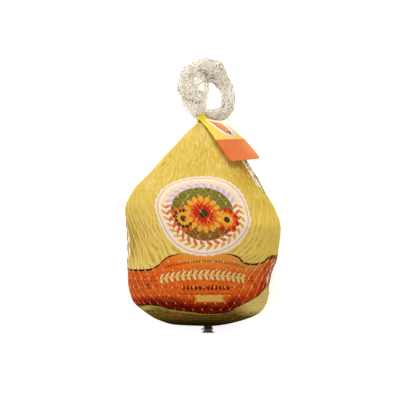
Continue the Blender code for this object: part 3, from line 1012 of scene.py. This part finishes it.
def drawn_strands(form, random):
    """Strands pulled together along the edges, where the net is stretched clear of the film."""
    around = np.linspace(0.1, 0.4, 121)
    taper = np.sin(math.pi * np.linspace(0, 1, DRAWN_STATIONS)) ** 0.5
    lines, ups = [], []
    for side, start, end, _, twist, outs in BRIDGES:
        low, high = [form.label(0, y)[1] for y in (start, end)]
        along = np.linspace(low, high, DRAWN_STATIONS)
        shares = side * around
        widest = [shares[np.argmax(side * form.at(np.full(shares.shape, a), shares)[:, 0])] for a in along]
        for number, (out, sway) in enumerate(zip(outs, wander(random, len(outs), DRAWN_STATIONS, 4))):
            turn = math.tau * along / twist + math.pi * number
            share = widest + 0.0016 * np.cos(turn) * taper
            lift = (out + DRAWN_SWING * (np.sin(turn) + 0.4 * sway)) * taper - 0.4
            normal = form.outward(along, share)
            lines.append(form.at(along, share) + normal * lift[:, None])
            ups.append(normal)
    # The dark low colour is painted shade on the strands towards the tail.
    tones = (srgb(222, 216, 190), srgb(80, 72, 46), (0.44, 0.52), 0.0036, srgb(50, 34, 24))
    finish = net_finish("drawn_net", *tones)
    add_tubes("drawn_strands", np.array(lines), np.array(ups), DRAWN_RADIUS, STRAND_SIDES, finish)


def wander(random, paths, stations, reach):
    """Smooth random lines with a spread of about 1; reach is how many stations a bend takes."""
    kernel = np.exp(-0.5 * (np.arange(-3 * reach, 3 * reach + 1) / reach) ** 2)
    kernel /= np.sqrt((kernel**2).sum())
    raw = random.normal(size=(paths, stations + 6 * reach))
    return np.array([np.convolve(line, kernel, "valid") for line in raw])


class Loop:
    """The carry loop's middle line and its flattened section."""

    def __init__(self):
        along = distances([row[:2] for row in LOOP_ROUTE])
        read = smooth_rows(LOOP_ROUTE, along)
        self.length = along[-1]
        self.steps = np.linspace(0, self.length, LOOP_SAMPLES + 1)
        rows = np.array([read(step) for step in self.steps])
        floor = rows[:, 3] / 2 + 1
        height = floor + (NECK[2] - floor) * (1 - fade(0, LOOP_FALL, rows[:, 1] - NECK[1]))
        self.line = np.column_stack([rows[:, 0], rows[:, 1], height])
        forward = unit(np.gradient(self.line, axis=0))
        self.across = unit(np.cross(forward, (0, 0, 1)))
        self.up = np.cross(self.across, forward)
        self.half = rows[:, 2:4] / 2

    def read(self, values, along):
        return np.stack([np.interp(along, self.steps, column) for column in values.T], -1)

    def at(self, along, turn, share):
        """Points at distances along the loop, turns round its section and shares of the way to its skin."""
        line, half = self.read(self.line, along), self.read(self.half, along)
        wide = self.read(self.across, along) * (half[..., :1] * (share * np.cos(turn))[..., None])
        high = self.read(self.up, along) * (half[..., 1:] * (share * np.sin(turn))[..., None])
        return line + wide + high


def part_aside(points, patch, strength):
    """Pushes strands away from a sheer patch."""
    x, y, long, thin, tilt, _ = patch
    turn = np.array(((math.cos(tilt), -math.sin(tilt)), (math.sin(tilt), math.cos(tilt))))
    away = (points[..., :2] - (x, y)) @ turn / (long, thin)
    far = np.maximum(np.linalg.norm(away, axis=-1), 1e-6)
    wanted = np.maximum(far, far + (1.25 - far) * 0.9 * strength)
    pushed = points.copy()
    pushed[..., :2] = (x, y) + (away * (wanted / far)[..., None] * (long, thin)) @ turn.T
    return pushed


def loop_layer(loop, random, share, columns):
    """Both families of strands of one layer of crumpled net: paths by station."""
    rows = int(loop.length / LOOP_MESH) + 1
    step_jitter, side_jitter = LOOP_JITTER
    along = np.linspace(0, loop.length, rows)[:, None] + random.normal(size=(rows, columns)) * step_jitter
    turn = math.tau * (np.arange(columns)[None] + random.normal(size=(rows, columns)) * 0.3) / columns
    knots = loop.at(along, turn, np.full(turn.shape, share))
    knots += random.normal(size=knots.shape) * side_jitter * 0.6
    spots = np.array([place for place, _ in LOOP_BAR])
    paths = []
    for lean in (-1, 1):
        for start in range(0, columns, 2):
            line = knots[np.arange(rows), (start + lean * np.arange(rows)) % columns]
            slack = random.normal(size=(rows - 1, 3)) * LOOP_SLACK
            bars = line[:-1, None] + (line[1:] - line[:-1])[:, None] * spots[:, None]
            bars += slack[:, None] * np.sin(math.pi * spots)[:, None]
            paths.append(np.vstack([bars.reshape(-1, 3), line[-1:]]))
    return paths


def loop_net(loop, random):
    """The bunched net of the loop: crumpled layers of mesh round a softer core."""
    lines = []
    for share, columns in LOOP_LAYERS:
        lines += loop_layer(loop, random, share, columns)
    lines = np.array(lines)
    for patch in SHEER_PATCHES:
        parted = random.uniform(size=len(lines)) < patch[5]
        lines = part_aside(lines, patch, np.where(parted, 1, 0.15)[:, None])
    bars = (lines.shape[1] - 1) // len(LOOP_BAR)
    radii = np.array([radius for _, radius in LOOP_BAR] * bars + [LOOP_BAR[0][1]])
    keep_above(lines, radii)
    finish = net_finish("bunched_strands", srgb(255, 249, 234), srgb(238, 221, 189), (0.52, 0.72), 0.006)
    add_tubes("loop_net", lines, SLANT, radii, LOOSE_SIDES, finish, replaced=("carry_loop",))
    loop_core(loop)
    stray_strands(loop, random)
    loop_shade_flecks(loop, random)
    root_net(random)


def stray_strands(loop, random):
    """Short slack strands that stand off the loop's edges."""
    step = np.linspace(0, 1, STRAY_STATIONS)[None]
    start = random.uniform(14, loop.length - 20, (STRAYS, 1))
    reach = random.uniform(6, 15, (STRAYS, 1))
    turn = random.choice((0.0, math.pi), (STRAYS, 1)) + random.normal(size=(STRAYS, 1)) * 0.3
    out = 0.97 + random.uniform(0.05, 0.2, (STRAYS, 1)) * np.sin(math.pi * step)
    lines = loop.at(start + reach * step, turn + 0 * step, out)
    near, far = np.array(GAP_STRANDS)[:, :, None].transpose(1, 0, 2, 3)
    lines = np.concatenate([part_aside(lines, SHEER_PATCHES[0], 1), near + (far - near) * step[..., None]])
    keep_above(lines, 0.4)
    finish = net_finish("stray_strands", srgb(222, 212, 184), srgb(128, 116, 90), (0.42, 0.56))
    add_tubes("loop_strays", lines, SLANT, STRAY_RADIUS, LOOSE_SIDES, finish)


def loop_shade_flecks(loop, random):
    """Painted shade in the openings between the loop's crumpled strands: short dark strands where there is
    only shade.
    """
    lines = []
    for start, end, wide, count in SHADE_FLECK_ROWS:
        middle = np.array(start) + (np.array(end) - start) * random.uniform(size=(count, 1))
        middle += random.normal(size=(count, 2)) * wide / 2
        nearest = np.argmin(np.linalg.norm(middle[:, None] - loop.line[None, :, :2], axis=2), 1)
        away = np.linalg.norm(middle - loop.line[nearest, :2], axis=1) / loop.half[nearest, 0]
        height = loop.line[nearest, 2] + loop.half[nearest, 1] * np.sqrt(np.maximum(1 - away**2, 0))
        middle = np.column_stack([middle, height])[away < 0.92]
        lean = random.uniform(0, math.pi, len(middle))
        reach = np.column_stack([np.cos(lean), np.sin(lean), 0.3 * np.cos(3 * lean)])
        reach *= random.uniform(0.8, 1.9, (len(middle), 1))
        lines.append(middle[:, None] + reach[:, None] * np.linspace(-1, 1, 4)[None, :, None])
    finish = net_finish("shade_fleck_strands", srgb(188, 172, 136), srgb(120, 106, 78))
    add_tubes("loop_shade_flecks", np.concatenate(lines), SLANT, SHADE_FLECK_RADIUS, LOOSE_SIDES, finish)


def loop_core(loop):
    """The tightly packed strands in the middle of the loop, as one lumpy roll."""
    along, turn = np.meshgrid(np.linspace(0, loop.length, CORE_RINGS), turns(CORE_SIDES), indexing="ij")
    points = loop.at(along, turn, np.full(along.shape, LOOP_CORE))
    lumps = np.array([noise.noise(Vector(p) / 3) for p in points.reshape(-1, 3)]).reshape(along.shape)
    beside = np.hypot(points[..., 0] - SHEER_PATCHES[0][0], points[..., 1] - SHEER_PATCHES[0][1])
    thin = 0.05 + 0.95 * fade(14, 36, beside.min(axis=1))[:, None]
    points = loop.at(along, turn, LOOP_CORE * thin * (1 + 0.3 * lumps))
    keep_above(points, 0.6)
    # Darker than the loop's outer strands: painted shade of its packed inside.
    finish = net_finish("packed_strands", srgb(252, 240, 218), srgb(216, 198, 164))
    add_piece("loop_core", points, tube_faces(1, CORE_RINGS, CORE_SIDES), finish)


def root_net(random):
    """The net where it is drawn together in the neck clip, on the film's gathered neck."""
    out = np.linspace(-1, 15.5, ROOT_STATIONS)
    reach = np.interp(out, *zip(*ROOT_PROFILE))
    inner_strands = ROOT_STRANDS // 2
    for name, count, share in (("root_net", ROOT_STRANDS, 0.93), ("inner_root_net", inner_strands, 0.72)):
        turn = turns(count)[:, None] + 0.05 * out + 0.06 * wander(random, count, ROOT_STATIONS, 4)
        radial = np.stack([np.sin(turn), np.zeros(turn.shape), np.cos(turn)], -1)
        lines = np.array(NECK) + radial * (reach * share)[None, :, None]
        lines[:, :, 1] += out
        finish = net_finish(name + "_strands", srgb(236, 226, 200), srgb(196, 182, 150))
        add_tubes(name, lines, radial, ROOT_RADIUS, STRAND_SIDES, finish)


def tag_finish():
    """Coated card: yellow with a pale oval above the fold, orange below it."""
    card = Finish("tag_print", 0.3, specular=0.1)
    share, along = card.uv("label")
    fold = tag_along()[-2]
    ground = card.coat(srgb(230, 194, 60)).lay(srgb(240, 212, 96), card.noise((share * 6, along / 18, 1)))
    ground.lay(srgb(238, 212, 44), share.below(along * -0.0035 + 0.24, 0.01))
    specks = card.noise((share * 22, along / 2.4, 2)).rising(0.6, 0.68)
    ground.lay(srgb(226, 150, 60), specks * share.between(0.2, 0.42, 0.08) * 0.5)
    middle, place, wide, tall = TAG_OVAL
    across, upwards = (share - middle) / wide, (along - place) / tall
    oval = card.coat(srgb(250, 244, 236)).lay(srgb(222, 208, 214), upwards.rising(0.2, 0.9))
    ground.lay(oval, length_of(across, upwards).below(1, 0.04))
    petal = leaf(across, upwards, 1.35, 0.9, 0.64)
    print_colour = card.coat(srgb(206, 62, 40)).lay(srgb(240, 140, 58), (across + 0.2).rising(-0.3, 0.4))
    print_colour.lay(srgb(110, 66, 40), upwards.rising(0.45, 0.6))
    ground.lay(print_colour, petal)
    veins = abs(repeated(upwards + abs(across) * 0.7, 0.2)).below(0.022, 0.02)
    ground.lay(srgb(250, 214, 150), veins * petal * 0.8)
    orange = card.coat(srgb(222, 108, 28)).lay(srgb(212, 90, 18), card.noise((share * 3, along / 30, 3)))
    streaks = card.noise((share * 26 - along * 0.12, along / 26, 5)).rising(0.4, 0.65)
    orange.lay(srgb(238, 134, 60), streaks * 0.4)
    # Lighter orange towards the right edge: a painted highlight.
    orange.lay(srgb(240, 150, 62), share.rising(0.6, 1) * 0.6)
    ground.lay(orange, along.above(fold, 0.4))
    ground.lay(srgb(214, 84, 30), abs(along - fold).below(0.7, 0.4))
    return card.done(ground, card.noise((share * 40, along / 1.6, 4)), 0.0002)


def tag_along():
    """Distances of the tag's rows from its tip."""
    return distances([[(row[i] + row[i + 3]) / 2 for i in range(3)] for row in TAG_EDGES])


def tag_lines():
    """Points over the tag's middle plane, and their share across it and distance from its tip."""
    along = tag_along()
    read = smooth_rows(TAG_EDGES, along)
    start = along[-1] - TAG_CORNER
    corner = [start + TAG_CORNER * math.sin(math.pi / 2 * i / 10) for i in range(1, 11)]
    lines, maps = [], []
    for place in [*np.linspace(0, start, TAG_ROWS + 1), *corner]:
        row = np.array(read(place))
        left, right = row[:3], row[3:]
        cut = TAG_CORNER - math.sqrt(max(0, TAG_CORNER**2 - max(0, place - start) ** 2))
        trim = cut / np.linalg.norm(right - left)
        share = trim + (1 - 2 * trim) * np.linspace(0, 1, TAG_COLUMNS + 1)
        lines.append(left + (right - left) * share[:, None])
        maps.append(np.column_stack([share, np.full(share.shape, place)]))
    return np.array(lines), np.array(maps)


def hang_tag():
    """The bent card, and its collar round the neck."""
    lines, maps = tag_lines()
    forward, across = np.gradient(lines, axis=0), np.gradient(lines, axis=1)
    facing = np.cross(across, forward)
    facing = unit(facing * np.sign(facing[..., 2:] + 1e-9))
    bow = TAG_BOW * np.sin(math.pi * maps[..., 0]) * fade(20, 60, maps[..., 1])
    middle = lines + facing * bow[..., None]
    sheets = [middle + side * facing * TAG_THICK / 2 for side in (1, -1)]
    grid = np.arange(maps[..., 0].size).reshape(lines.shape[:2])
    top = np.stack([grid[:-1, :-1], grid[:-1, 1:], grid[1:, 1:], grid[1:, :-1]], -1).reshape(-1, 4)
    edge = [*grid[0], *grid[1:, -1], *grid[-1, -2::-1], *grid[-2:0:-1, 0]]
    quads = top.tolist() + (top[:, ::-1] + grid.size).tolist()
    quads += [(b, a, a + grid.size, b + grid.size) for a, b in zip(edge, [*edge[1:], edge[0]])]
    made = add_piece("tag_card", sheets, quads, tag_finish(), ("hang_tag",))
    set_point_map(made, "label", [maps, maps])
    tag_collar()


def tag_collar():
    """The card's ring round the neck, with slightly rounded edges."""
    inner, outer = COLLAR_RADII
    near, far = COLLAR_OUT
    soft = COLLAR_EDGE
    section = ((inner, near + soft), (inner + soft, near), (outer - soft, near), (outer, near + soft))
    section += ((outer, far - soft), (outer - soft, far), (inner + soft, far), (inner, far - soft))
    ring = [[(r * math.sin(a), out, r * math.cos(a)) for r, out in section] for a in turns(COLLAR_STEPS)]
    index = np.arange(COLLAR_STEPS * len(section)).reshape(COLLAR_STEPS, len(section))
    beside, ahead = np.roll(index, -1, axis=1), np.roll(index, -1, axis=0)
    faces = np.stack([index, beside, np.roll(beside, -1, axis=0), ahead], -1).reshape(-1, 4).tolist()
    made = add_piece("tag_collar", np.array(ring) + NECK, faces, tag_finish())
    set_map(made, "label", np.tile((0.1, 6), (len(made.data.loops), 1)))


def dark_end_finish():
    """Gathered film and net: darkened to brown as painted shade, paler on the folds as painted highlights.
    """
    end = Finish("gathered_end", 0.5)
    x, y, z = end.place()
    folds = end.noise((x * 500, y * 160, z * 500), 3, 0.6)
    colour = end.coat(srgb(78, 60, 38)).lay(srgb(146, 116, 74), folds.rising(0.42, 0.72))
    return end.done(colour, folds, 0.0004)


def tail_tuft(random):
    """The pleated end of bag and net behind the tail clip."""
    places, radii, depths = zip(*TUFT_PROFILE)
    out = np.linspace(places[0], places[-1], TUFT_RINGS)
    radius, depth = [np.interp(out, places, column)[:, None] for column in (radii, depths)]
    turn = turns(TUFT_SIDES)
    spots = [(math.sin(a) * 2.6, o / 3, math.cos(a) * 2.6) for o in out for a in turn]
    uneven = np.array([noise.noise(Vector(spot)) for spot in spots]).reshape(TUFT_RINGS, TUFT_SIDES)
    pleat = np.cos(TUFT_PLEATS * turn + 2 * uneven)
    reach = radius * (1 + depth * (pleat + 0.8 * uneven))
    points = np.stack([reach * np.sin(turn), -out[:, None] + 0 * reach, reach * np.cos(turn)], -1)
    finish = dark_end_finish()
    faces = tube_faces(1, TUFT_RINGS, TUFT_SIDES)
    add_piece("tail_gather", points + TAIL, faces, finish, ("tail_tuft",))
    tail_fray(finish, random)


def tail_fray(finish, random):
    """Short frayed strands that fan out from the two flanges of the gathered end."""
    core = 4
    flange = np.where(np.arange(FRAYS) % 2, 4, 9)[:, None]
    start = random.uniform(0, math.tau, (FRAYS, 1))
    far = random.uniform(6.4, 10.8, (FRAYS, 1))
    step = np.linspace(0, 1, FRAY_STATIONS)
    away = core + (far - core) * step
    bend = start + 0.12 * wander(random, FRAYS, FRAY_STATIONS, 3) * step
    back = flange + random.uniform(-0.7, 1.6, (FRAYS, 1)) * step**2
    lines = np.stack([away * np.sin(bend), -back, away * np.cos(bend)], -1) + TAIL
    add_tubes("tail_fray", lines, (0, 1, 0), FRAY_RADIUS, STRAND_SIDES, finish)


def clip_finish(name, light, dark):
    """Drawn aluminium wire: dull, with fine scratches round it."""
    wire = Finish(name, 0.4, metallic=1)
    x, y, z = wire.place()
    scratches = wire.noise((x * 260, y * 2600, z * 260), 3, 0.6)
    colour = wire.coat(light).lay(dark, scratches.rising(0.4, 0.7))
    return wire.done(colour, scratches, 0.0001, scratches * 0.3 + 0.22)


def metal_clips():
    for name, light, dark in (
        ("neck_clip", srgb(150, 148, 140), srgb(96, 92, 84)),
        # The tail clip is painted dark brown: painted shade, as it lies in the shadow of the bag's end.
        ("tail_clip", srgb(98, 80, 56), srgb(52, 41, 27)),
    ):
        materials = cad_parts[name].data.materials
        materials.clear()
        materials.append(clip_finish(name + "_wire", light, dark))


def white_floor():
    mesh = bpy.data.meshes.new("floor")
    corners = [(x * FLOOR_SIZE, y * FLOOR_SIZE, 0) for x, y in ((-1, -1), (1, -1), (1, 1), (-1, 1))]
    mesh.from_pydata(corners, [], [(0, 1, 2, 3)])
    floor = new_object("floor", mesh)
    paper = Finish("floor_paper", 0.9)
    glow = {"Emission Color": (1, 1, 1, 1), "Emission Strength": 0.6}
    fill(paper.shader, {"Base Color": (0.9, 0.9, 0.9, 1), **glow})
    mesh.materials.append(paper.material)


def soft_light(name, place, size, power):
    """A round light that points at the pack."""
    lamp = bpy.data.lights.new(name, "AREA")
    lamp.shape = "DISK"
    lamp.size = size
    lamp.energy = power
    made = new_object(name, lamp)
    made.location = place
    made.rotation_euler = (Vector(LIGHT_AIM) - Vector(place)).to_track_quat("-Z", "Y").to_euler()


def studio():
    """A pale floor, soft light that comes mostly from the loop's end, and the camera straight above."""
    white_floor()
    soft_light("key_light", (-0.12, 1.9, 1.05), 0.9, 25)
    soft_light("top_light", (-0.4, -0.2, 2.4), 1.6, 22)
    scene = bpy.context.scene
    scene.world = bpy.data.worlds.new("studio")
    scene.world.use_nodes = True
    fill(scene.world.node_tree.nodes["Background"], {"Color": (1, 1, 1, 1), "Strength": 0.25})
    scene.view_settings.view_transform = "Standard"
    camera = bpy.data.cameras.new("camera")
    camera.lens = camera.sensor_width * CAMERA_DISTANCE / FRAME_WIDTH
    camera.clip_end = 100
    scene.camera = new_object("camera", camera)
    scene.camera.location = (*FRAME_MIDDLE, 0.1 + CAMERA_DISTANCE)


def main():
    form = Form()
    rows = net_rows(form)
    random = np.random.default_rng(SEED)
    bag_film(form, rows)
    body_net(form, rows)
    net_knots(form, rows)
    drawn_strands(form, random)
    loop_net(Loop(), random)
    hang_tag()
    tail_tuft(random)
    metal_clips()
    studio()


main()
